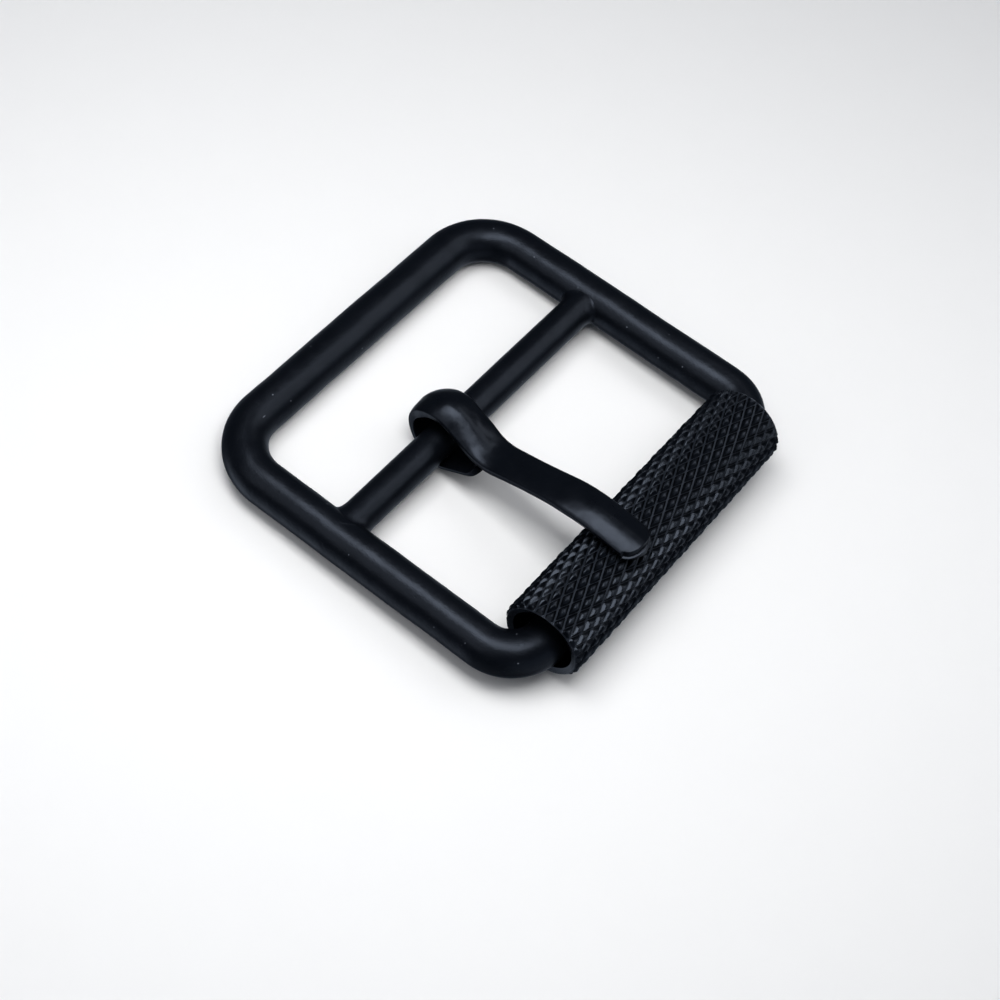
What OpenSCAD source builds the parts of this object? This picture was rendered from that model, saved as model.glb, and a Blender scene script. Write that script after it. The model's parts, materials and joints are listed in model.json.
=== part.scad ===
// Roller buckle for a belt: a rod frame with a centre bar, a prong bent from
// flat bar and a knurled roller turning loosely on the frame's front bar.
// It lies as it would on a table, on its heel bar, its roller and the prong's eye.
// +X runs along the belt from the heel bar to the roller, +Y along the bars, +Z up.

/* [Strap] */
// Clear width between the rails, which is the width of the strap
strap_w = 40; // [25:0.5:50]

/* [Frame] */
// Diameter of the frame's rod
rod_d = 5; // [4.4:0.1:5.6]
// From the centre bar's axis back to the heel bar's axis
heel_reach = 16.6; // [14:0.1:22]
// From the centre bar's axis forward to the front bar's axis
front_reach = 23.95; // [22:0.05:30]
// Bend radius of the two heel corners, to the rod's axis
heel_bend_r = 6.6; // [4:0.1:9]
// Bend radius of the two front corners, to the rod's axis
front_bend_r = 4.75; // [3.5:0.05:6]
// Diameter of the centre bar
bar_d = 3.9; // [3.2:0.1:4.4]
// Growth of the centre bar's radius where it runs into a rail
root_rise = 0.35; // [0.1:0.05:0.6]
// Length over which the centre bar grows into its root
root_len = 1.3; // [0.8:0.1:3]

/* [Roller] */
// Looseness of the bore round the front bar, as a difference of diameters
roller_slack = 2.4; // [1.6:0.1:3]
// Wall of the roller, from its bore to the crests of the knurl
roller_wall = 1.12; // [0.8:0.02:1.4]
// Gap between each end of the roller and the line of the rail
roller_end_gap = 1.15; // [0.6:0.05:2]
// Length of the plain bevelled rim at each end
rim_len = 0.5; // [0.3:0.1:1.2]
// How far the rim's bevel drops below the crests
rim_drop = 0.47; // [0.1:0.01:0.5]
// Bevel at each mouth of the bore
mouth_bevel = 0.2; // [0.1:0.05:0.3]

/* [Prong] */
// Looseness of the eye round the centre bar, as a difference of diameters
eye_slack = 2; // [1.8:0.1:2.5]
// Width of the hood over the bar
hood_w = 4.4; // [4.2:0.1:5]
// How much thicker the hood is on top than the eye's wall
hood_rise = 0.3; // [0.2:0.05:0.6]
// How much thicker the hood is behind the bar than the eye's wall
hood_back = 0.3; // [0.1:0.05:0.4]
// Loss of the hood's radius at its two ends, which crowns it
hood_crown = 0.35; // [0.1:0.05:0.5]
// Width of the shank where it rests on the roller
shank_w = 3.9; // [3.4:0.1:4.3]
// Thickness of the shank
shank_t = 1.7; // [1.2:0.1:2]
// Forward from the eye's axis to the shank's lowest point
waist_x = 6.2; // [5.8:0.1:7.5]
// Height of the shank's lowest point above the eye's axis
waist_z = 1.6; // [1.3:0.1:2.2]
// From the roller's axis back to the bend onto the roller
bend_back = 5.7; // [4.5:0.1:7]
// Upward slope of the tip, in degrees
tip_pitch = 3.5; // [0:0.5:5]
// How far the tip reaches past the roller's axis
tip_over = 2.2; // [1:0.1:3]
// Corner radius of the tip, seen from above
tip_corner_r = 1.3; // [0.6:0.1:1.5]
// Upward slope of the tail under the shank, in degrees
tail_pitch = 33; // [28:1:36]
// Length of the tail's straight run
tail_len = 4.6; // [4:0.1:4.8]

/* [Lie] */
// Across from the frame's middle to the prong on its bar
prong_aside = -4.2; // [-8:0.1:8]
// Angle that the prong lies askew on its bar, in degrees
prong_skew = 4.4; // [0:0.5:6]
// How far the eye lies forward of the centre bar's axis
eye_forward = 0.1; // [0:0.05:0.15]
// Gap left where one loose piece rests on another
seat_gap = 0.08; // [0.06:0.01:0.1]

/* [Hidden] */
$fn = 96;
blackened = [0.16, 0.17, 0.2];

rod_r = rod_d / 2;
bar_r = bar_d / 2;
rail_y = strap_w / 2 + rod_r;
root_r = min(bar_r + root_rise, rod_r - 0.05);
root_steps = 8;

bore_r = rod_r + roller_slack / 2;
roller_r = bore_r + roller_wall;
rim_r = roller_r - rim_drop;
roller_len = strap_w - 2 * roller_end_gap;

// The front bar lies in the bottom of the roller's bore, so the frame tips up by a little
front_z = roller_wall + seat_gap + rod_r;
rest_tilt = asin((front_z - rod_r) / (heel_reach + front_reach));
bar_z = rod_r + heel_reach * sin(rest_tilt);
roller_ahead = front_reach * cos(rest_tilt);
back_edge = -heel_reach * cos(rest_tilt) - rod_r;
front_edge = roller_ahead + roller_r;
// The origin is under the middle of the whole length
bar_x = -(back_edge + front_edge) / 2;
roller_x = bar_x + roller_ahead;

// The eye's wall fills the space under the bar, clear of the bar and of what the buckle lies on
eye_wall = bar_z - bar_r - 2 * seat_gap;
eye_r = bar_r + eye_slack / 2;
eye_outer_r = eye_r + eye_wall;
eye_x = bar_x + eye_forward;
eye_z = eye_outer_r + seat_gap;
// From the eye's axis to the roller's crest line, in the prong's own upright plane
crest_x = (roller_ahead - eye_forward) / cos(prong_skew);
shank_mid_r = eye_r + shank_t / 2;
tail_mid_r = eye_r + eye_wall / 2;
curve_steps = 10;
hood_steps = 8;

function unit(v) = v / norm(v);
function turn_left(v) = [-v[1], v[0]];
function polar(r, a) = r * [cos(a), sin(a)];
function reversed(v) = [for (i = [len(v) - 1:-1:0]) v[i]];
function mix(a, b, t) = a + (b - a) * t;
function ease(t) = (1 - cos(180 * t)) / 2;

// Curve that rounds the corner b of a path a, b, c and starts at the distance back from b
function rounded(a, b, c, back) =
    let (p = b + unit(a - b) * back, q = b + unit(c - b) * back)
    [for (i = [0:curve_steps]) let (t = i / curve_steps) mix(mix(p, b, t), mix(b, q, t), t)];

// Direction of a path at its point i
function heading(path, i) =
    unit(path[min(i + 1, len(path) - 1)] - path[max(i - 1, 0)]);

// Outline of a strip of thickness t along a path
function strip(path, t) = concat(
    [for (i = [0:len(path) - 1]) path[i] + turn_left(heading(path, i)) * t / 2],
    reversed([for (i = [0:len(path) - 1]) path[i] - turn_left(heading(path, i)) * t / 2]));

// The shank leaves the hood along the tangent that reaches its lowest point
waist = [waist_x, waist_z];
hood_leave_a = atan2(waist_z, waist_x) + acos(shank_mid_r / norm(waist));
hood_leave = polar(shank_mid_r, hood_leave_a);
tip_mid_z = roller_r - eye_z + (roller_r + seat_gap + shank_t / 2) / cos(tip_pitch);
tip_bend = [crest_x - bend_back, tip_mid_z - bend_back * tan(tip_pitch)];
tip_end = [crest_x + tip_over, tip_mid_z + tip_over * tan(tip_pitch)];
waist_ease = 2.4;
bend_ease = 3.2;
shank_path = concat(
    [hood_leave],
    rounded(hood_leave, waist, tip_bend, waist_ease),
    rounded(waist, tip_bend, tip_end, bend_ease),
    [tip_end]);
// Over the top of the bar the hood thickens into the shank
hood_turn = 50;
hood_top = [for (i = [0:curve_steps - 1]) let (t = i / curve_steps)
    polar(eye_r + mix(eye_wall, shank_t, ease(t)), hood_leave_a + hood_turn * (1 - t))];
shank_outline = concat([[0, 0]], hood_top, strip(shank_path, shank_t));

// The tail runs up from the eye's underside and turns to end just below the shank
tail_clear = 0.35;
tail_turn_back = 0.6;
tail_end_lean = 0.35;
tail_start = polar(tail_mid_r, tail_pitch - 90);
tail_turn = tail_start + polar(tail_len, tail_pitch);
tail_end = [tail_turn[0] + tail_end_lean, waist_z - shank_t / 2 - tail_clear];
tail_path = concat([tail_start], rounded(tail_start, tail_turn, tail_end, tail_turn_back), [tail_end]);

// The outline from above starts this much wider than the hood and cuts into it as it narrows
plan_margin = 0.4;
// Widths from above: [share of the way from the eye's axis to the tip's end, share of shank_w]
plan_rows = [
    [0.07, (hood_w + plan_margin) / shank_w],
    [0.24, 0.95],
    [0.46, 0.82],
    [0.73, 0.98],
    [0.90, 0.94],
    [1.00, 0.92]];

// Solid cylinder along Y, centred on the origin
module rod_across(r, len) {
    rotate([90, 0, 0]) cylinder(r = r, h = len, center = true);
}

// Quarter of a bent rod, from the +X side of its centre to the +Y side
module bent_rod(bend_r) {
    rotate_extrude(angle = 90) translate([bend_r, 0]) circle(r = rod_r);
}

// Ring of rod with two bars, two rails and four bends, about the centre bar's middle
module ring() {
    translate([-heel_reach, 0, 0]) rod_across(rod_r, 2 * (rail_y - heel_bend_r));
    translate([front_reach, 0, 0]) rod_across(rod_r, 2 * (rail_y - front_bend_r));
    for (side = [0, 1]) mirror([0, side, 0]) {
        translate([heel_bend_r - heel_reach, rail_y, 0]) rotate([0, 90, 0])
            cylinder(r = rod_r, h = heel_reach + front_reach - heel_bend_r - front_bend_r);
        translate([front_reach - front_bend_r, rail_y - front_bend_r, 0]) bent_rod(front_bend_r);
        translate([heel_bend_r - heel_reach, rail_y - heel_bend_r, 0]) rotate([0, 0, 90]) bent_rod(heel_bend_r);
    }
}

// Half of the centre bar with its thicker root inside the rail
module half_bar() {
    root_y = strap_w / 2;
    swell = [for (i = [0:root_steps]) let (t = i / root_steps)
        [mix(bar_r, root_r, ease(t)), root_y - root_len * (1 - t)]];
    rotate([-90, 0, 0]) rotate_extrude()
        polygon(concat([[0, 0], [bar_r, 0]], swell, [[root_r, rail_y], [0, rail_y]]));
}

module frame() {
    color(blackened) translate([bar_x, 0, bar_z]) rotate([0, -rest_tilt, 0]) {
        ring();
        for (side = [0, 1]) mirror([0, side, 0]) half_bar();
    }
}

// Tube with a plain bevelled rim at each end; its outside is the knurl's crests
module roller() {
    half = roller_len / 2;
    outer = [[rim_r, -half], [roller_r, rim_len - half], [roller_r, half - rim_len], [rim_r, half]];
    inner = [[bore_r + mouth_bevel, half], [bore_r, half - mouth_bevel],
             [bore_r, mouth_bevel - half], [bore_r + mouth_bevel, -half]];
    color(blackened) translate([roller_x, 0, roller_r]) rotate([90, 0, 0])
        rotate_extrude() polygon(concat(outer, inner));
}

// The hood's crowned outside, turned about the eye's axis
module hood_barrel(r) {
    half = hood_w / 2;
    crown = [for (i = [0:hood_steps]) let (a = mix(-1, 1, i / hood_steps)) [r - hood_crown * a * a, half * a]];
    rotate([90, 0, 0]) rotate_extrude() polygon(concat([[0, -half]], crown, [[0, half]]));
}

// A side outline, [forward, up], made as wide as the hood
module side_plate(outline) {
    rotate([90, 0, 0]) linear_extrude(height = hood_w, center = true) polygon(outline);
}

// Space in front of the bore, between the tail and the underside of the shank
module eye_pocket() {
    reach = 2 * eye_outer_r;
    low = polar(eye_r, tail_pitch - 90);
    high = polar(eye_r, hood_leave_a);
    rotate([90, 0, 0]) linear_extrude(height = 2 * hood_w, center = true)
        polygon([[0, 0], low, low + polar(reach, tail_pitch), high + polar(reach, hood_leave_a - 90), high]);
}

function plan_half(s) =
    let (last = len(plan_rows) - 1)
    s <= plan_rows[0][0] ? plan_rows[0][1] :
    let (k = max([for (i = [0:last - 1]) if (plan_rows[i][0] <= s) i]),
         t = (s - plan_rows[k][0]) / (plan_rows[k + 1][0] - plan_rows[k][0]))
    mix(plan_rows[k][1], plan_rows[k + 1][1], ease(min(t, 1)));

// The prong seen from above, from behind the hood to the rounded tip
module plan_outline() {
    first = plan_rows[0][0];
    steps = 36;
    reach = tip_end[0];
    corner_x = reach - tip_corner_r;
    corner_y = plan_half(1) * shank_w / 2 - tip_corner_r;
    edge = [for (i = [0:steps]) let (s = mix(first, corner_x / reach, i / steps))
        [s * reach, plan_half(s) * shank_w / 2]];
    tip = [for (a = [75:-15:0]) [corner_x, corner_y] + polar(tip_corner_r, a)];
    half = concat([[-2 * eye_outer_r, edge[0][1]]], edge, tip);
    polygon(concat(half, reversed([for (p = half) [p[0], -p[1]]])));
}

module prong() {
    color(blackened) translate([eye_x, prong_aside, eye_z]) rotate([0, 0, -prong_skew]) difference() {
        intersection() {
            union() {
                difference() {
                    union() {
                        hood_barrel(eye_outer_r);
                        translate([-hood_back, 0, hood_rise]) hood_barrel(eye_outer_r);
                    }
                    eye_pocket();
                }
                side_plate(shank_outline);
                side_plate(strip(tail_path, eye_wall));
            }
            linear_extrude(height = 8 * eye_outer_r, center = true) plan_outline();
        }
        rod_across(eye_r, 2 * hood_w);
    }
}

frame();
roller();
prong();
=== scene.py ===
import json

import bpy
import numpy as np
from mathutils import Matrix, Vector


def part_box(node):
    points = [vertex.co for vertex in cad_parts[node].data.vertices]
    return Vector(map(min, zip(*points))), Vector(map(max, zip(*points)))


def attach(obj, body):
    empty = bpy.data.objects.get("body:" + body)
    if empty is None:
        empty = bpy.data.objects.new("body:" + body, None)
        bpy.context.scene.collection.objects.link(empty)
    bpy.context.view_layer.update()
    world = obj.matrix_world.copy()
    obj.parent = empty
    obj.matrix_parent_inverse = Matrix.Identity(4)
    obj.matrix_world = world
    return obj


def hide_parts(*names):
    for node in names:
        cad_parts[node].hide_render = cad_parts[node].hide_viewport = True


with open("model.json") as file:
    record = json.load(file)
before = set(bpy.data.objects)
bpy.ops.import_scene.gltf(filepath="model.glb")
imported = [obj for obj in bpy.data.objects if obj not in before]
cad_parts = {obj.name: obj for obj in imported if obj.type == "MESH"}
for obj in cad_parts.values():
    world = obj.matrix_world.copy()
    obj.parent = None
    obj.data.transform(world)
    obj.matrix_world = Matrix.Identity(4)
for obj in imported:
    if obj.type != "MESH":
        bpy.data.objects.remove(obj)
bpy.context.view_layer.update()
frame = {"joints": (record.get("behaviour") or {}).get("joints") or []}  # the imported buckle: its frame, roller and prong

mm = 0.001
joints = {joint["name"]: joint for joint in frame["joints"]}
rng = np.random.default_rng(24)
tiny = 1e-6  # keeps rounding from splitting values that are equal


# Meshes from grids of points

def gridFaces(rows, columns, closedRows, closedColumns):
    # Quad (i, j) joins grid points (i, j), (i+1, j), (i+1, j+1), (i, j+1); a closed direction wraps round
    index = np.arange(rows * columns).reshape(rows, columns)
    i = np.arange(rows if closedRows else rows - 1)
    j = np.arange(columns if closedColumns else columns - 1)
    a = index[np.ix_(i, j)]
    b = index[np.ix_((i + 1) % rows, j)]
    c = index[np.ix_((i + 1) % rows, (j + 1) % columns)]
    d = index[np.ix_(i, (j + 1) % columns)]
    return np.stack([a, b, c, d], -1)


def cappedShell(points, closedRows=False):
    # One closed shell: the grid wraps along its columns, and a fan to the middle closes each end row
    rows, columns = points.shape[:2]
    quads = gridFaces(rows, columns, closedRows, True).reshape(-1, 4)
    vertices = points.reshape(-1, 3)
    fans = np.zeros((0, 3), int)
    if not closedRows:
        vertices = np.vstack([vertices, points[0].mean(0), points[-1].mean(0)])
        near = np.arange(columns)
        far = near + (rows - 1) * columns
        first = np.full(columns, rows * columns)
        fans = np.vstack([np.stack([first, near, np.roll(near, -1)], 1),
                          np.stack([first + 1, np.roll(far, -1), far], 1)])
    return vertices, quads, fans


def outwardFaces(vertices, quads, fans):
    # The faces turn over where the signed volume, a sixth of the sum of a . (b x c), is below nothing
    triangles = np.vstack([quads[:, [0, 1, 2]], quads[:, [0, 2, 3]], fans])
    a, b, c = (vertices[triangles[:, k]] for k in range(3))
    if np.einsum("ij,ij->i", a, np.cross(b, c)).sum() < 0:
        return quads[:, ::-1], fans[:, ::-1]
    return quads, fans


def makePiece(name, shells, sharpAngle, material, fields=None):
    # Joins closed shells into one object; faces that meet at more than sharpAngle degrees keep their edge
    vertices, faces, start = [], [], 0
    for shellVertices, quads, fans in shells:
        quads, fans = outwardFaces(shellVertices, quads, fans)
        vertices.append(shellVertices)
        faces += (quads + start).tolist() + (fans + start).tolist()
        start += len(shellVertices)
    mesh = bpy.data.meshes.new(name)
    mesh.from_pydata(np.vstack(vertices), [], faces)
    for fieldName, values in (fields or {}).items():
        layer = mesh.attributes.new(fieldName, "FLOAT", "POINT")
        layer.data.foreach_set("value", values.astype(np.float32))
    mesh.shade_smooth()
    mesh.set_sharp_from_angle(angle=np.radians(sharpAngle))
    mesh.materials.append(material)
    piece = bpy.data.objects.new(name, mesh)
    bpy.context.scene.collection.objects.link(piece)
    print(f"made {name}: {len(faces)} faces")
    return piece


# Node trees for the finishes

patchSpan = (0.3, 0.7)  # the noise's values between which a patch goes from smoother to duller


def startFinish(name):
    material = bpy.data.materials.new(name)
    material.use_nodes = True
    nodes = material.node_tree.nodes
    nodes.clear()
    output = nodes.new("ShaderNodeOutputMaterial")
    shader = nodes.new("ShaderNodeBsdfPrincipled")
    material.node_tree.links.new(shader.outputs["BSDF"], output.inputs["Surface"])
    place = nodes.new("ShaderNodeTexCoord").outputs["Object"]
    return material, shader, place


def join(material, source, target):
    material.node_tree.links.new(source, target)


def addNoise(material, place, size, detail=2.0, rough=0.5):
    # Cloudy noise whose patches are about `size` millimetres across
    noise = material.node_tree.nodes.new("ShaderNodeTexNoise")
    noise.inputs["Scale"].default_value = 1 / (size * mm)
    noise.inputs["Detail"].default_value = detail
    noise.inputs["Roughness"].default_value = rough
    join(material, place, noise.inputs["Vector"])
    return noise.outputs["Fac"]


def addStretch(material, place, factors, turn):
    # Turns and squeezes the coordinates, so that a round spot comes out longer where its factor is small
    stretch = material.node_tree.nodes.new("ShaderNodeMapping")
    stretch.inputs["Rotation"].default_value = turn
    stretch.inputs["Scale"].default_value = factors
    join(material, place, stretch.inputs["Vector"])
    return stretch.outputs["Vector"]


def addSpots(material, place, spacing, radius, share):
    # One round spot in a share of the cells of a random net, 1 in its middle and 0 past its radius
    nodes = material.node_tree.nodes
    cells = nodes.new("ShaderNodeTexVoronoi")
    cells.inputs["Scale"].default_value = 1 / (spacing * mm)
    join(material, place, cells.inputs["Vector"])
    spot = addRange(material, cells.outputs["Distance"], 0.0, radius / spacing, 1.0, 0.0)
    pick = nodes.new("ShaderNodeSeparateColor")
    join(material, cells.outputs["Color"], pick.inputs["Color"])
    chosen = addMath(material, "LESS_THAN", pick.outputs["Red"], share)
    return addMath(material, "MULTIPLY", spot, chosen)


def addRange(material, source, low, high, toLow, toHigh):
    span = material.node_tree.nodes.new("ShaderNodeMapRange")
    for socket, value in (("From Min", low), ("From Max", high), ("To Min", toLow), ("To Max", toHigh)):
        span.inputs[socket].default_value = value
    join(material, source, span.inputs["Value"])
    return span.outputs["Result"]


def addMath(material, operation, a, b):
    step = material.node_tree.nodes.new("ShaderNodeMath")
    step.operation = operation
    for socket, value in zip(step.inputs, (a, b)):
        if isinstance(value, (int, float)):
            socket.default_value = value
        else:
            join(material, value, socket)
    return step.outputs["Value"]


def addMix(material, amount, dark, light):
    mix = material.node_tree.nodes.new("ShaderNodeMix")
    mix.data_type = "RGBA"
    join(material, amount, mix.inputs["Factor"])
    for socket, value in (("A", dark), ("B", light)):
        target = [s for s in mix.inputs if s.name == socket and s.type == "RGBA"][0]
        if isinstance(value, tuple):
            target.default_value = (*value, 1.0)
        else:
            join(material, value, target)
    return [s for s in mix.outputs if s.type == "RGBA"][0]


def addBump(material, height, depth, before=None):
    # Raises the surface by `height` times `depth` millimetres
    bump = material.node_tree.nodes.new("ShaderNodeBump")
    bump.inputs["Distance"].default_value = depth * mm
    bump.inputs["Strength"].default_value = 1.0
    join(material, height, bump.inputs["Height"])
    if before is not None:
        join(material, before, bump.inputs["Normal"])
    return bump.outputs["Normal"]


def addSheen(material, place, look, detail, rough=0.5):
    # Roughness in soft patches, from the look's smoother to its duller value
    patch = addNoise(material, place, look["sheenSize"], detail, rough)
    return addRange(material, patch, *patchSpan, *look["roughness"])


def setGloss(shader, look):
    shader.inputs["Specular IOR Level"].default_value = look["gloss"]
    shader.inputs["Specular Tint"].default_value = (*look["tint"], 1.0)


# Blackened coating: bluish black, cloudy, satin, with fine orange peel, pits and a few pale specks
def blackCoating(name, look):
    material, shader, place = startFinish(name)
    cloud = addNoise(material, place, look["cloudSize"], detail=3.0)
    colour = addMix(material, cloud, look["dark"], look["light"])
    speck = addSpots(material, place, look["speckSpacing"], look["speckRadius"], look["speckShare"])
    stretched = addStretch(material, place, look["nickSize"], look["nickTurn"])
    nick = addSpots(material, stretched, look["speckSpacing"], look["nickRadius"], look["nickShare"])
    speck = addMath(material, "MAXIMUM", speck, nick)
    colour = addMix(material, speck, colour, look["speck"])
    join(material, colour, shader.inputs["Base Color"])
    join(material, addSheen(material, place, look, detail=4.0, rough=0.6), shader.inputs["Roughness"])
    peel = addNoise(material, place, look["peelSize"])
    swell = addNoise(material, place, look["swellSize"], detail=1.0)
    pit = addSpots(material, place, look["pitSpacing"], look["pitRadius"], look["pitShare"])
    normal = addBump(material, swell, look["swellDepth"])
    normal = addBump(material, peel, look["peelDepth"], normal)
    normal = addBump(material, addNoise(material, place, look["grainSize"]), look["grainDepth"], normal)
    normal = addBump(material, pit, -look["pitDepth"], normal)
    normal = addBump(material, speck, look["speckHeight"], normal)
    join(material, normal, shader.inputs["Normal"])
    setGloss(shader, look)
    return material


# Frame: the bent ring of rod and its welded centre bar

frameLook = {
    "dark": (0.0010, 0.0013, 0.0020), "light": (0.0024, 0.0031, 0.0048), "cloudSize": 4.0,
    "speck": (0.17, 0.19, 0.23), "speckSpacing": 0.5, "speckRadius": 0.11, "speckShare": 0.020,
    "speckHeight": 0.03,
    "nickRadius": 0.077, "nickSize": (1.0, 0.22, 1.0), "nickTurn": (0.5, 0.3, 0.7), "nickShare": 0.012,
    "roughness": (0.31, 0.39), "sheenSize": 1.6,
    "peelSize": 0.42, "peelDepth": 0.018, "swellSize": 3.2, "swellDepth": 0.11,
    "pitSpacing": 0.36, "pitRadius": 0.08, "pitShare": 0.12, "pitDepth": 0.025,
    "grainSize": 0.12, "grainDepth": 0.009,
    "gloss": 0.29, "tint": (0.68, 0.79, 1.0),
}
frameSizes = {
    "rod": 5.0, "heelReach": 16.6, "frontReach": 23.95, "heelBend": 6.6, "frontBend": 4.75,
    "bar": 3.9, "rootRise": 0.52, "rootLength": 1.5,
    "barReach": 1.03,  # the bar's length, as a share of the way from rail to rail: it ends inside them
    "pathStep": 0.4, "bendStep": 0.28, "rodSides": 72, "barRows": 150, "barSides": 64, "sharpAngle": 50,
    # Unevenness of the rod: waves along the ring, waves round the rod, height as a share of its radius
    "waves": [(5, 1, 0.006), (9, 2, 0.005), (17, 1, 0.0035), (31, 2, 0.002), (47, 3, 0.0014)],
    "waveShift": 1.7,  # radians from each wave to the next
}


def ringPath(sizes, halfWidth):
    # Rounded rectangle from the heel bar at x = 0: arcs c + r (cos a, sin a) with straight runs between them
    length = sizes["heelReach"] + sizes["frontReach"]
    heel, front = sizes["heelBend"], sizes["frontBend"]
    bends = [(length - front, halfWidth - front, front, 0), (heel, halfWidth - heel, heel, 90),
             (heel, heel - halfWidth, heel, 180), (length - front, front - halfWidth, front, 270)]
    arcs = []
    for x, y, radius, first in bends:
        count = int(radius * np.pi / 2 / sizes["bendStep"]) + 1
        angle = np.radians(first + np.linspace(0, 90, count))
        outward = np.stack([np.cos(angle), np.sin(angle)], 1)
        arcs.append((np.array([x, y]) + radius * outward, outward))
    points, normals = [], []
    for k, (arc, outward) in enumerate(arcs):
        run = arcs[(k + 1) % 4][0][0] - arc[-1]
        count = int(np.linalg.norm(run) / sizes["pathStep"]) + 1
        share = np.arange(1, count)[:, None] / count
        points += [arc, arc[-1] + share * run]
        normals += [outward, np.repeat(outward[-1:], count - 1, 0)]
    return np.vstack(points), np.vstack(normals)


def ringShell(sizes, halfWidth):
    # P(s, f) = c(s) + r (1 + waves) (cos f n(s) + sin f z), with waves = sum of h cos(2 pi a u + b f + d)
    path, outward = ringPath(sizes, halfWidth)
    steps = np.linalg.norm(np.roll(path, -1, 0) - path, axis=1)
    u = (np.cumsum(steps) / steps.sum())[:, None]
    f = np.linspace(0, 2 * np.pi, sizes["rodSides"], endpoint=False)[None, :]
    radius = np.ones_like(u * f)
    for k, (along, around, height) in enumerate(sizes["waves"]):
        radius = radius + height * np.cos(2 * np.pi * along * u + around * f + sizes["waveShift"] * k)
    radius = radius * sizes["rod"] / 2
    flat = path[:, None, :] + (radius * np.cos(f))[..., None] * outward[:, None, :]
    points = np.concatenate([flat, (radius * np.sin(f))[..., None]], -1)
    return cappedShell(points, closedRows=True)


def barShell(sizes, halfWidth):
    # P(g, f) = (x + r cos f, g e(f), r sin f); e is where that side of the bar meets the rail,
    # e = w - sqrt(R^2 - (r0 sin f)^2), and r = b + h (1 - sqrt(1 - (1 - d/l)^2)) with d = (1 - |g|) e
    rod, bar = sizes["rod"] / 2, sizes["bar"] / 2
    g = sizes["barReach"] * np.sin(np.linspace(-np.pi / 2, np.pi / 2, sizes["barRows"]))[:, None]
    f = np.linspace(0, 2 * np.pi, sizes["barSides"], endpoint=False)[None, :]
    meet = halfWidth - np.sqrt(rod ** 2 - ((bar + sizes["rootRise"]) * np.sin(f)) ** 2)
    away = np.clip((1 - np.abs(g)) * meet / sizes["rootLength"], 0, 1)
    radius = bar + sizes["rootRise"] * (1 - np.sqrt(1 - (1 - away) ** 2))
    x = sizes["heelReach"] + radius * np.cos(f)
    return cappedShell(np.stack([x, g * meet, radius * np.sin(f)], -1))


def buildFrame():
    low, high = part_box("frame")
    rod = frameSizes["rod"] / 2
    halfWidth = high.y / mm - rod
    heel = np.array([low.x / mm + rod, 0, low.z / mm + rod])
    front = np.array([high.x / mm - rod, 0, high.z / mm - rod])
    rise = np.arcsin((front[2] - heel[2]) / (frameSizes["heelReach"] + frameSizes["frontReach"]))
    along = np.array([np.cos(rise), 0, np.sin(rise)])
    upward = np.array([-np.sin(rise), 0, np.cos(rise)])
    axes = np.stack([along, [0, 1, 0], upward])
    shells = []
    for vertices, quads, fans in (ringShell(frameSizes, halfWidth), barShell(frameSizes, halfWidth)):
        placed = (heel + vertices @ axes) * mm
        placed[:, 2] = np.maximum(placed[:, 2], 0)  # it lies on the table, and nothing of it below
        shells.append((placed, quads, fans))
    material = blackCoating("satinBlackRod", frameLook)
    piece = makePiece("buckleFrame", shells, frameSizes["sharpAngle"], material)
    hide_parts("frame")
    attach(piece, "frame")


# Roller: a tube with a sharp diamond knurl cut into it

rollerSizes = {
    "threads": 24, "lead": 2.844,  # grooves of each hand round it, and their crossings' spacing along it
    "grooveDepth": 0.42, "grooveFlat": (0.144, 0.072), "flankCurve": 2.0,
    "rimRadius": 4.35, "rimLength": 0.5, "boreRadius": 3.7, "faceDish": 0.22,
    "cellSteps": 16, "endLength": 0.9, "endStep": 0.1, "boreRows": 10, "sharpAngle": 28,
    "uneven": 0.12,  # how much the diamonds' heights differ, as a share of the groove's depth
    "tableLength": 61,  # diamonds along a thread before their heights repeat
}
rollerLook = {
    "dark": (0.0004, 0.0006, 0.0010), "light": (0.0010, 0.0013, 0.0020),
    "crest": (0.012, 0.0145, 0.019), "crestSpan": (0.62, 0.95),  # heights, as shares of the grooves' depth
    # The groove bottoms' colour is a painted highlight: paler lines where the grooves would catch the light
    "grooveHighlight": (0.012, 0.0145, 0.0195), "grooveHighlightTo": 0.11, "innerCrest": 0.3,
    "rubSize": 0.5, "rubSpan": (0.35, 0.65), "rubLeast": 0.4,
    "cloudSize": 2.5, "roughness": (0.19, 0.27), "sheenSize": 0.9, "grooveDulls": 0.11, "grooveTo": 0.25,
    "peelSize": 0.16, "peelDepth": 0.006, "scratchSize": 0.05, "scratchDepth": 0.004,
    "gloss": 0.27, "tint": (0.68, 0.79, 1.0),
}


def knurlDepth(p, q, sizes, radius):
    # p and q count diamonds round and along. Grooves run where p - q or p + q is whole; with d the distance
    # to the edge of the nearest groove's flat bottom, m its greatest value and u a diamond's own unevenness,
    # the cut is D - D (1 + u) (1 - (1 - d/m)^curve): steep in the groove and easing off to the diamond's top
    pitch = 2 * np.pi * radius / sizes["threads"]
    across = pitch * np.cos(np.arctan(pitch / sizes["lead"]))
    toGroove = [np.abs((value + 0.5) % 1 - 0.5) * across - flat / 2
                for value, flat in zip((p - q, p + q), sizes["grooveFlat"])]
    nearest = np.clip(np.minimum(*toGroove), 0, None) / (across / 2 - max(sizes["grooveFlat"]) / 2)
    table = rng.uniform(-sizes["uneven"], 0, (sizes["threads"], sizes["tableLength"]))
    one = np.floor(p - q + tiny).astype(int) % sizes["threads"]
    other = np.floor(p + q + tiny).astype(int) % sizes["tableLength"]
    top = sizes["grooveDepth"] * (1 + table[one, other])
    return sizes["grooveDepth"] - top * (1 - np.clip(1 - nearest, 0, 1) ** sizes["flankCurve"])


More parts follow.
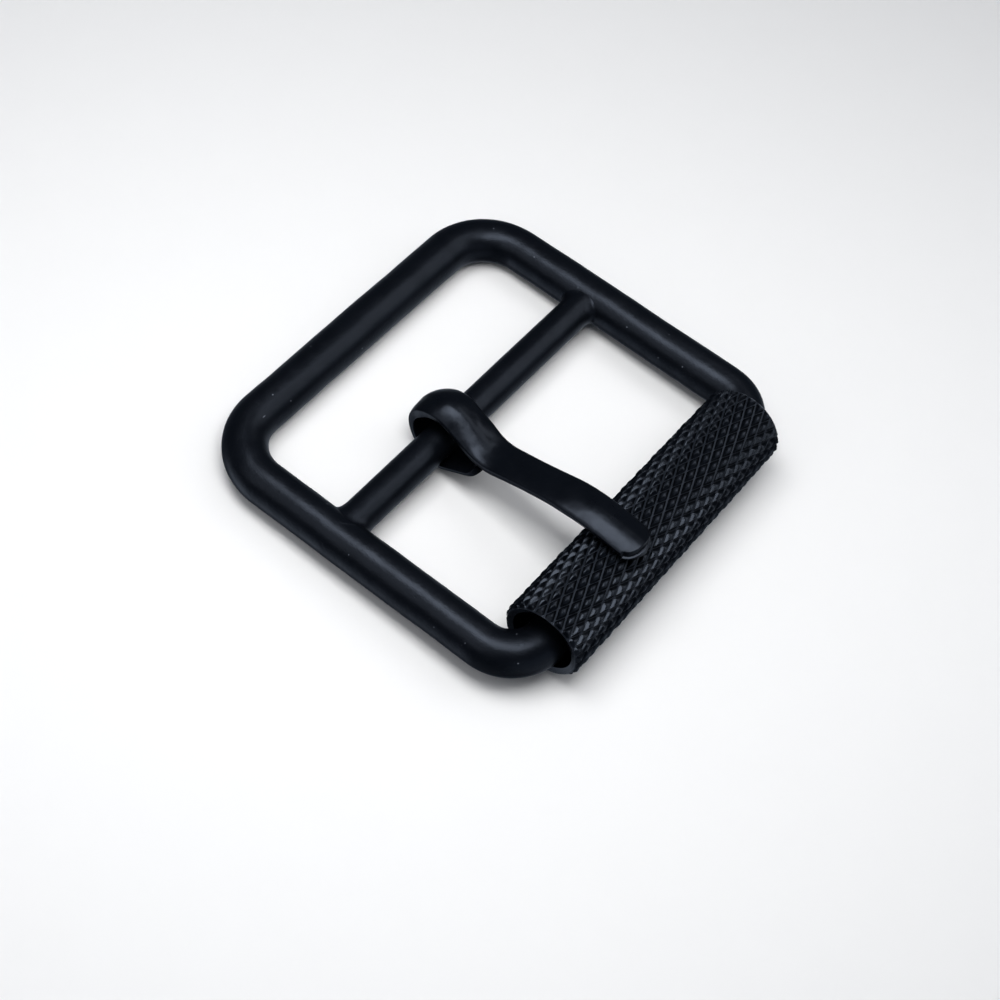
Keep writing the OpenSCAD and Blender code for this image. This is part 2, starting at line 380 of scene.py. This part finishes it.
def rollerMaterial(look):
    material, shader, place = startFinish("blackKnurledSteel")
    attribute = material.node_tree.nodes.new("ShaderNodeAttribute")
    attribute.attribute_name = "crest"
    crest = attribute.outputs["Fac"]
    cloud = addNoise(material, place, look["cloudSize"], detail=3.0)
    colour = addMix(material, cloud, look["dark"], look["light"])
    rub = addNoise(material, place, look["rubSize"], detail=3.0, rough=0.6)
    top = addRange(material, crest, *look["crestSpan"], 0.0, 1.0)
    rubbed = addRange(material, rub, *look["rubSpan"], look["rubLeast"], 1.0)
    worn = addMath(material, "MULTIPLY", top, rubbed)
    colour = addMix(material, worn, colour, look["crest"])
    # Painted highlight: the groove bottoms, up to the given share of the depth, are made paler in place of
    # the light they catch
    bottom = addRange(material, crest, 0.0, look["grooveHighlightTo"], 1.0, 0.0)
    colour = addMix(material, bottom, colour, look["grooveHighlight"])
    join(material, colour, shader.inputs["Base Color"])
    sheen = addSheen(material, place, look, detail=3.0)
    groove = addRange(material, crest, 0.0, look["grooveTo"], look["grooveDulls"], 0.0)
    join(material, addMath(material, "ADD", sheen, groove), shader.inputs["Roughness"])
    normal = addBump(material, addNoise(material, place, look["peelSize"]), look["peelDepth"])
    scratch = addNoise(material, place, look["scratchSize"], detail=1.0)
    normal = addBump(material, scratch, look["scratchDepth"], normal)
    join(material, normal, shader.inputs["Normal"])
    setGloss(shader, look)
    return material


def buildRoller():
    # P(a, k) = (R_k(a) cos a, y_k, R_k(a) sin a) with k going round the tube's wall: the knurled outside,
    # the far rim, the bore and the near rim
    sizes = rollerSizes
    low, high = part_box("roller")
    half = (high.y - low.y) / 2 / mm
    radius = (high.x - low.x) / 2 / mm
    steps = sizes["cellSteps"]
    line = sizes["lead"] / steps
    lines = int((half - sizes["endLength"]) / line)
    inner = np.arange(-lines, lines + 1) * line
    ends = np.linspace(inner[-1], half, int((half - inner[-1]) / sizes["endStep"]) + 1)[1:]
    y = np.concatenate([-ends[::-1], inner, ends])
    count = sizes["threads"] * steps
    p = np.arange(count)[:, None] / steps
    q = y[None, :] / sizes["lead"]
    cone = sizes["rimRadius"] + (radius - sizes["rimRadius"]) * (half - np.abs(y)) / sizes["rimLength"]
    cut = knurlDepth(p, q, sizes, radius)
    outer = np.minimum(radius - cut, cone[None, :])
    # The wall's section past the knurl is the bore; the end faces are dished in to it
    wallY = np.linspace(half - sizes["faceDish"], sizes["faceDish"] - half, sizes["boreRows"])
    wall = np.ones((count, len(wallY)))
    allY = np.concatenate([y, wallY])
    allR = np.hstack([outer, sizes["boreRadius"] * wall])
    height = np.clip(1 - (radius - outer) / sizes["grooveDepth"], 0, 1)
    crest = np.hstack([height, rollerLook["innerCrest"] * wall])
    angle = 2 * np.pi * p / sizes["threads"]
    axis = np.array(joints["roller_spin"]["pos_m"]) / mm
    points = np.stack([axis[0] + allR * np.cos(angle), axis[1] + allY[None, :] + 0 * allR,
                       axis[2] + allR * np.sin(angle)], -1)
    quads = gridFaces(count, len(allY), True, True)
    # Each quad is cut along its lower diagonal, so that a groove's bottom stays a straight line
    a, b, c, d = (allR.reshape(-1)[quads[..., k]] for k in range(4))
    first = (a + c <= b + d).reshape(-1)
    quads = quads.reshape(-1, 4)
    triangles = np.vstack([quads[first][:, [0, 1, 2]], quads[first][:, [0, 2, 3]],
                           quads[~first][:, [1, 2, 3]], quads[~first][:, [1, 3, 0]]])
    shell = (points.reshape(-1, 3) * mm, np.zeros((0, 4), int), triangles)
    piece = makePiece("knurledRoller", [shell], sizes["sharpAngle"], rollerMaterial(rollerLook),
                      {"crest": crest.reshape(-1)})
    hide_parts("roller")
    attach(piece, "roller")


# Prong: a half-round bar bent into an eye, a hood, a shank and a tip

prongSizes = {
    "eyeRadius": 2.95, "eyeWall": 0.88, "shankThick": 1.7,
    "waist": (6.2, 1.6), "waistEase": 2.4, "bendBack": 5.7, "bendEase": 3.2,
    "tipPitch": 3.5, "tipOver": 2.86, "tipRound": 1.9, "tipSquare": (2.3, 1.75),
    "seat": 0.08,  # gap between the tip and the roller
    "lip": 1.1, "lipCurve": 5, "underEdge": 7.0,
    "ledgeHeight": 0.30, "ledgeTilt": 0.27, "ledgeWidth": 0.26, "stepSlope": 12.0,
    "ledgeEase": 0.6, "ledgeFade": 2.0,  # where the ledge starts, and how far above the crown it comes from
    "tailPitch": 33.0, "tailLength": 4.6, "tailTurnBack": 0.6, "tailLean": 0.35, "tailClear": 0.35,
    "step": 0.1, "sides": 144, "tipRows": 60, "eyeRows": 160, "smoothing": 1.4, "sharpAngle": 40,
}
# Sections along the prong: where (on the tail in shares of it, round the eye in degrees, along the shank in
# mm ahead of the eye), half width on the near and far side, lift, thickness, fall of the near and far side,
# squareness of the near and far edge, and how far the near side leans in from its top to its bottom; where
# it leans out instead, as beside the hood, its bottom edge flares into a lip; last how round the crown is
prongColumns = ("part", "place", "near", "far", "lift", "thick", "nearFall", "farFall",
                "nearEdge", "farEdge", "lean", "crown")
prongSections = [
    ("tail", 0.0, 2.50, 1.75, 0.00, 0.80, 0.05, 0.05, 7.0, 5.0, -0.20, 1.2),
    ("tail", 1.0, 2.66, 2.05, 0.00, 0.86, 0.05, 0.05, 7.0, 5.0, -0.20, 1.2),
    ("eye", -90, 2.45, 2.20, 0.00, 0.88, 0.02, 0.10, 7.0, 4.0, 0.00, 1.5),
    ("eye", -135, 2.18, 2.30, 0.00, 1.05, 0.08, 0.22, 10.0, 3.2, -0.14, 1.7),
    ("eye", -180, 2.10, 2.40, 0.00, 1.45, 0.30, 0.52, 12.0, 3.0, -0.24, 1.8),
    ("eye", -207, 2.22, 2.50, 0.00, 1.48, 0.46, 0.62, 14.0, 2.9, -0.22, 1.8),
    ("eye", -228, 2.30, 2.60, 0.00, 1.49, 0.58, 0.70, 16.0, 2.8, -0.16, 1.8),
    ("eye", -245, 2.30, 2.65, 0.00, 1.56, 0.66, 0.73, 7.0, 2.8, 0.00, 1.7),
    ("eye", -270, 2.26, 2.70, 0.00, 1.71, 0.80, 0.76, 3.6, 2.8, 0.12, 1.4),
    ("eye", -292, 2.24, 2.65, 0.00, 1.74, 0.84, 0.75, 3.2, 3.0, 0.16, 1.3),
    ("shank", 3.6, 2.27, 2.62, 0.02, 1.70, 0.62, 0.52, 3.4, 3.6, 0.18, 1.3),
    ("shank", 6.2, 2.28, 2.35, 0.10, 1.46, 0.20, 0.20, 5.0, 4.5, 0.20, 1.2),
    ("shank", 9.5, 2.34, 2.15, 0.20, 1.30, 0.08, 0.08, 6.0, 5.5, 0.36, 1.2),
    ("shank", 12.0, 2.28, 2.08, 0.20, 1.26, 0.06, 0.06, 6.5, 6.0, 0.36, 1.2),
    ("shank", 15.0, 2.32, 2.14, 0.15, 1.36, 0.10, 0.10, 6.0, 5.0, 0.36, 1.2),
    ("shank", 17.5, 2.40, 2.36, 0.05, 1.58, 0.30, 0.30, 5.0, 4.0, 0.36, 1.2),
    ("shank", 20.0, 2.38, 2.52, 0.00, 1.76, 0.68, 0.66, 6.0, 3.4, 0.40, 1.2),
    ("shank", 23.0, 2.32, 2.50, 0.00, 1.76, 0.78, 0.78, 7.0, 3.2, 0.40, 1.2),
    ("shank", 26.0, 2.42, 2.36, 0.00, 1.74, 0.78, 0.78, 7.0, 3.2, 0.40, 1.2),
]
# Shallow hollow worn along the front of the hood: depth, half width, place across, sway and its length, and
# its middle and reach ahead of the eye (mm)
hoodHollow = {
    "depth": 0.07, "half": 0.55, "across": 0.55, "sway": 0.35, "swayLength": 3.4, "middle": 3.2, "reach": 2.1,
}
prongLook = {
    "dark": (0.0010, 0.0013, 0.0020), "light": (0.0024, 0.0031, 0.0048), "cloudSize": 5.0,
    "speck": (0.22, 0.24, 0.28), "speckSpacing": 0.5, "speckRadius": 0.08, "speckShare": 0.008,
    "speckHeight": 0.02,
    "nickRadius": 0.056, "nickSize": (0.3, 1.0, 1.0), "nickTurn": (0.5, 0.3, 0.7), "nickShare": 0.004,
    "roughness": (0.27, 0.38), "sheenSize": 2.0,
    "peelSize": 0.5, "peelDepth": 0.010, "swellSize": 1.3, "swellDepth": 0.05,
    "pitSpacing": 0.40, "pitRadius": 0.06, "pitShare": 0.06, "pitDepth": 0.015,
    "grainSize": 0.12, "grainDepth": 0.002,
    "gloss": 0.28, "tint": (0.68, 0.79, 1.0),
}


def polar(radius, degrees):
    angle = np.radians(degrees)
    return radius * np.stack([np.cos(angle), np.sin(angle)], -1)


def leftOf(vectors):
    return np.stack([-vectors[..., 1], vectors[..., 0]], -1)


def unitOf(vectors):
    return vectors / np.linalg.norm(vectors, axis=-1, keepdims=True)


def offsetCorners(points, distance):
    # Moves a path to its right by the distance; a corner moves by (n1 + n2) / (1 + n1 . n2)
    normals = leftOf(unitOf(np.diff(points, axis=0)))
    before = np.vstack([normals[:1], normals])
    after = np.vstack([normals, normals[-1:]])
    mitre = (before + after) / (1 + (before * after).sum(1, keepdims=True))
    return points - mitre * distance


def easedCorner(a, b, c, back, count=24):
    # Curve (1-t)^2 p + 2 t (1-t) b + t^2 q that rounds the corner b, starting `back` before it
    p, q = b + unitOf(a - b) * back, b + unitOf(c - b) * back
    t = np.linspace(0, 1, count)[:, None]
    return (1 - t) ** 2 * p + 2 * t * (1 - t) * b + t ** 2 * q


def prongPath(sizes, crest, rollerRadius, eyeHeight):
    # The side of the bar that touches the centre bar and lies on the roller, from the tail's end to the tip:
    # tail, arc of the eye and shank, as one line of points, closer together at the tip; also where parts end
    thick, eye, wall = sizes["shankThick"], sizes["eyeRadius"], sizes["eyeWall"]
    waist = np.array(sizes["waist"])
    leave = np.degrees(np.arctan2(waist[1], waist[0]) + np.arccos((eye + thick / 2) / np.linalg.norm(waist)))
    pitch = np.radians(sizes["tipPitch"])
    tipHeight = rollerRadius - eyeHeight + (rollerRadius + sizes["seat"] + thick / 2) / np.cos(pitch)
    bend = np.array([crest - sizes["bendBack"], tipHeight - sizes["bendBack"] * np.tan(pitch)])
    tip = np.array([crest + sizes["tipOver"], tipHeight + sizes["tipOver"] * np.tan(pitch)])
    shank = offsetCorners(np.array([polar(eye + thick / 2, leave), waist, bend, tip]), thick / 2)
    tailStart = polar(eye + wall / 2, sizes["tailPitch"] - 90)
    tailTurn = tailStart + polar(sizes["tailLength"], sizes["tailPitch"])
    tailEnd = np.array([tailTurn[0] + sizes["tailLean"], waist[1] - thick / 2 - sizes["tailClear"]])
    tail = offsetCorners(np.array([tailEnd, tailTurn, tailStart]), wall / 2)
    arc = polar(eye, np.linspace(sizes["tailPitch"] - 90, leave - 360, sizes["eyeRows"]))
    tailLine = np.vstack([tail[:1], easedCorner(*tail, sizes["tailTurnBack"])])
    shankLine = np.vstack([easedCorner(shank[0], shank[1], shank[2], sizes["waistEase"]),
                           easedCorner(shank[1], shank[2], shank[3], sizes["bendEase"]), shank[3:]])
    line = np.vstack([tailLine, arc, shankLine])
    travel = np.concatenate([[0], np.cumsum(np.linalg.norm(np.diff(line, axis=0), axis=1))])
    keep = np.concatenate([[True], np.diff(travel) > tiny])
    line, travel = line[keep], travel[keep]
    fine = travel[-1] - sizes["tipRound"] * (1 - np.sin(np.linspace(0, np.pi / 2, sizes["tipRows"])))
    even = np.arange(0, fine[0] - sizes["step"] / 2, sizes["step"])
    even = np.concatenate([even, fine])
    path = np.stack([np.interp(even, travel, line[:, k]) for k in range(2)], 1)
    tailEndsAt = np.linalg.norm(np.diff(np.vstack([tailLine, arc[:1]]), axis=0), axis=1).sum()
    eyeEndsAt = tailEndsAt + eye * np.radians(sizes["tailPitch"] - 90 - leave + 360)
    return path, even, tailEndsAt, eyeEndsAt


def sectionValues(sizes, path, travel, tailEndsAt, eyeEndsAt):
    # Each column of the sections by its name, as a smooth function of the way along the prong
    onShank = travel >= eyeEndsAt
    stations = []
    for part, place, *_ in prongSections:
        if part == "tail":
            stations.append(place * tailEndsAt)
        elif part == "eye":
            stations.append(tailEndsAt + sizes["eyeRadius"] * np.radians(sizes["tailPitch"] - 90 - place))
        else:
            stations.append(np.interp(place, path[onShank, 0], travel[onShank]))
    columns = np.array([row[2:] for row in prongSections])
    window = np.hanning(int(sizes["smoothing"] / sizes["step"]) | 1)
    window = window / window.sum()
    edge = len(window) // 2
    even = np.arange(0, travel[-1] + sizes["step"], sizes["step"])
    smooth = {}
    for name, column in zip(prongColumns[2:], columns.T):
        values = np.pad(np.interp(even, stations, column), edge, mode="edge")
        smooth[name] = np.interp(travel, even, np.convolve(values, window, "valid"))[:, None]
    return smooth


def prongShell(sizes, crest, rollerRadius, eyeHeight):
    # P(s, v) = ref(s) + h(s, v) n(s) and y(s, v). With c = cos v and e the edge's squareness,
    # y = w c |c|^(2/e - 1); h goes from 0 to T - fall |y/w|^crown the same way with sin v, so that the
    # underside is flat
    path, travel, tailEndsAt, eyeEndsAt = prongPath(sizes, crest, rollerRadius, eyeHeight)
    here = sectionValues(sizes, path, travel, tailEndsAt, eyeEndsAt)
    normal = leftOf(unitOf(np.gradient(path, travel, axis=0)))
    v = np.linspace(0, 2 * np.pi, sizes["sides"], endpoint=False)[None, :]
    onFar = np.cos(v) > 0
    edge = np.where(np.sin(v) < 0, sizes["underEdge"], np.where(onFar, here["farEdge"], here["nearEdge"]))
    width = np.where(onFar, here["far"], here["near"])
    c = np.sign(np.cos(v)) * np.abs(np.cos(v)) ** (2 / edge)
    s = np.sign(np.sin(v)) * np.abs(np.sin(v)) ** (2 / edge)
    # Seen from above the tip ends in the curve (p/L)^n + (y/w)^n = 1, with p the way past its start
    length = sizes["tipRound"]
    square = np.where(onFar, sizes["tipSquare"][1], sizes["tipSquare"][0])
    past = np.clip(path[:, :1] - (path[-1, 0] - length), 0, length) / length
    past = np.where(travel[:, None] > eyeEndsAt, past, 0)
    y = width * (1 - past ** square) ** (1 / square) * c
    fall = np.where(onFar, here["farFall"], here["nearFall"])
    top = here["thick"] - fall * np.abs(y / width) ** here["crown"]
    # A ledge goes round the tip's end, rising to the far side, with a steep step from it up to the crown
    inward = (1 - (past ** square + np.abs(y / width) ** square) ** (1 / square)) * length
    step = np.clip(inward - sizes["ledgeWidth"], 0, None)
    ledge = sizes["ledgeHeight"] + sizes["ledgeTilt"] * (y + here["near"]) + sizes["stepSlope"] * step
    ledge = ledge + sizes["ledgeFade"] * np.clip(1 - past * length / sizes["ledgeEase"], 0, 1)
    top = np.where(past > 0, np.minimum(top, ledge), top)
    # From down = 0 at the top to 1 at the bottom the near side leans in by lean down, and where it leans out
    # its lip goes out by a further lip lean down^curve
    down = (1 - s) / 2
    flare = sizes["lip"] * np.clip(here["lean"], None, 0) * down ** sizes["lipCurve"]
    y = y + np.where(onFar, 0, np.abs(c) * (here["lean"] * down + flare))
    height = here["lift"] + top * (1 + s) / 2
    # The hollow takes off depth exp(-((y - line) / half)^2), where line sways across the hood
    hollow = hoodHollow
    share = np.exp(-((path[:, :1] - hollow["middle"]) / hollow["reach"]) ** 2) * (path[:, 1:] > 0)
    line = hollow["across"] + hollow["sway"] * np.sin(2 * np.pi * travel[:, None] / hollow["swayLength"])
    height = height - share * hollow["depth"] * np.exp(-((y - line) / hollow["half"]) ** 2) * np.clip(s, 0, 1)
    side = path[:, None, :] + height[..., None] * normal[:, None, :]
    return cappedShell(np.stack([side[..., 0], y, side[..., 1]], -1))


def buildProng():
    eye = np.array(joints["prong_swing"]["pos_m"]) / mm
    axis = joints["prong_swing"]["axis"]
    roller = np.array(joints["roller_spin"]["pos_m"]) / mm
    low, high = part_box("roller")
    rollerRadius = (high.x - low.x) / 2 / mm
    # The swing's axis points to -Y, so the prong's forward direction is at right angles to it
    forward = np.array([-axis[1], axis[0], 0.0])
    across = np.array([-axis[0], -axis[1], 0.0])
    crest = (roller[0] - eye[0]) / forward[0]
    vertices, quads, fans = prongShell(prongSizes, crest, rollerRadius, eye[2])
    axes = np.stack([forward, across, [0, 0, 1]])
    shell = ((eye + vertices @ axes) * mm, quads, fans)
    material = blackCoating("glossBlackProng", prongLook)
    piece = makePiece("bentProng", [shell], prongSizes["sharpAngle"], material)
    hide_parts("prong")
    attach(piece, "prong")


# Camera, floor and light

view = {
    "location": (55.7219, -109.5343, 171.3916), "azimuth": 26.39, "elevation": 55.81, "roll": 14.08,
    "lens": 68.34, "sensor": 36, "nearest": 0.01,  # the last in metres
}
studio = {
    "floor": (0.84, 0.84, 0.84), "floorShade": 0.985, "floorRoughness": 0.7,
    "grainSize": 6.0, "grainDepth": 0.02,
    "sweepHalf": 4.5, "flatHalf": 2.0, "sweepRise": 0.4, "sweepRows": 61,  # metres; rise per metre
}
# The room's colour where it is dim and pale; where the pale sets in and is whole, by a direction's X, Y or Z;
# and how much of it there is behind the buckle, in front of it, past its heel and past its roller
room = {
    "dim": (0.034, 0.044, 0.064), "pale": (0.80, 0.90, 1.05),
    "belowZ": (-0.1, -0.6), "behindY": (0.05, 0.45), "frontY": (-0.22, -0.45), "heelX": (-0.15, -0.45),
    "rollerX": (0.5, 0.8), "rollerZ": (0.6, 0.3),
    "behind": 0.35, "front": 0.1, "pastHeel": 1.25, "pastRoller": 0.35,
}
# Softboxes: middle and the point each faces (mm), width and height (mm), radiance, seen in reflections or not
softboxes = {
    "lamp": ((-12, -21, 150), (-12, -21, 0), 135, 66, 6.8, True),
    "side": ((70, 100, 135), (0, 0, 0), 190, 90, 1.55, True),
    "front": ((-50, -118, 120), (-50, 0, 60), 130, 110, 0.9, True),
    "ceiling": ((0, 0, 2700), (0, 0, 0), 3900, 3900, 0.6, False),
}


def poseOf(right, back, place):
    # Matrix with the columns right, back x right, back and the place, which is in millimetres
    pose = np.eye(4)
    pose[:3, :] = np.stack([right, np.cross(back, right), back, np.array(place) * mm], 1)
    return Matrix(pose.tolist())


def buildCamera():
    azimuth, elevation, roll = (np.radians(view[key]) for key in ("azimuth", "elevation", "roll"))
    flat = np.array([np.sin(azimuth), -np.cos(azimuth), 0])
    back = np.cos(elevation) * flat + np.sin(elevation) * np.array([0, 0, 1])
    level = np.array([np.cos(azimuth), np.sin(azimuth), 0])
    upright = np.cross(back, level)
    right = np.cos(roll) * level + np.sin(roll) * upright
    data = bpy.data.cameras.new("camera")
    data.lens = view["lens"]
    data.sensor_width = view["sensor"]
    data.clip_start = view["nearest"]
    camera = bpy.data.objects.new("camera", data)
    camera.matrix_world = poseOf(right, back, view["location"])
    bpy.context.scene.collection.objects.link(camera)
    bpy.context.scene.camera = camera


def floorMaterial():
    material, shader, place = startFinish("paleFloor")
    grain = addNoise(material, place, studio["grainSize"], detail=4.0)
    tone = studio["floor"]
    colour = addMix(material, grain, tuple(studio["floorShade"] * value for value in tone), tone)
    join(material, colour, shader.inputs["Base Color"])
    shader.inputs["Roughness"].default_value = studio["floorRoughness"]
    join(material, addBump(material, grain, studio["grainDepth"]), shader.inputs["Normal"])
    return material


def buildFloor():
    # Studio sweep z = k max(r - flat, 0)^2, with r the way from the middle: flat, and curving up far off
    rows = studio["sweepRows"]
    line = np.linspace(-studio["sweepHalf"], studio["sweepHalf"], rows)
    x, y = np.meshgrid(line, line, indexing="ij")
    z = studio["sweepRise"] * np.clip(np.hypot(x, y) - studio["flatHalf"], 0, None) ** 2
    points = np.stack([x, y, z], -1).reshape(-1, 3)
    mesh = bpy.data.meshes.new("floor")
    mesh.from_pydata(points, [], gridFaces(rows, rows, False, False).reshape(-1, 4).tolist())
    mesh.shade_smooth()
    mesh.materials.append(floorMaterial())
    floor = bpy.data.objects.new("floor", mesh)
    floor.visible_glossy = False  # the photo's buckle mirrors dim surroundings, not a white floor
    bpy.context.scene.collection.objects.link(floor)


def buildLights():
    # A softbox of radiance L and area A gives the power pi A L
    for name, (middle, target, width, height, radiance, mirrored) in softboxes.items():
        data = bpy.data.lights.new(name, "AREA")
        data.shape = "RECTANGLE"
        data.size = width * mm
        data.size_y = height * mm
        data.energy = np.pi * width * height * mm * mm * radiance
        box = bpy.data.objects.new(name, data)
        back = unitOf(np.array(middle, float) - np.array(target, float))
        side = unitOf(np.cross([0, 1, 0], back))  # no softbox faces along Y
        box.matrix_world = poseOf(side, back, middle)
        box.visible_glossy = mirrored
        bpy.context.scene.collection.objects.link(box)


def buildRoom():
    # The room is dim, and paler low down behind the buckle and in front of it, most of all past its heel,
    # and past its roller up to well above the horizon
    world = bpy.data.worlds.new("room")
    world.use_nodes = True
    place = world.node_tree.nodes.new("ShaderNodeTexCoord")
    direction = world.node_tree.nodes.new("ShaderNodeSeparateXYZ")
    join(world, place.outputs["Generated"], direction.inputs["Vector"])
    x, y, z = (direction.outputs[axis] for axis in "XYZ")
    below = addRange(world, z, *room["belowZ"], 0.0, 1.0)
    behind = addRange(world, y, *room["behindY"], 0.0, room["behind"])
    inFront = addRange(world, y, *room["frontY"], 0.0, 1.0)
    pastHeel = addRange(world, x, *room["heelX"], room["front"], room["pastHeel"])
    inFront = addMath(world, "MULTIPLY", inFront, pastHeel)
    low = addMath(world, "MULTIPLY", below, addMath(world, "MAXIMUM", behind, inFront))
    pastRoller = addRange(world, x, *room["rollerX"], 0.0, room["pastRoller"])
    level = addRange(world, z, *room["rollerZ"], 0.0, 1.0)
    amount = addMath(world, "MAXIMUM", low, addMath(world, "MULTIPLY", pastRoller, level))
    colour = addMix(world, amount, room["dim"], room["pale"])
    join(world, colour, world.node_tree.nodes["Background"].inputs["Color"])
    bpy.context.scene.world = world
    bpy.context.scene.view_settings.view_transform = "Standard"


buildFrame()
buildRoller()
buildProng()
buildCamera()
buildFloor()
buildLights()
buildRoom()
print("camera, floor and light are set")
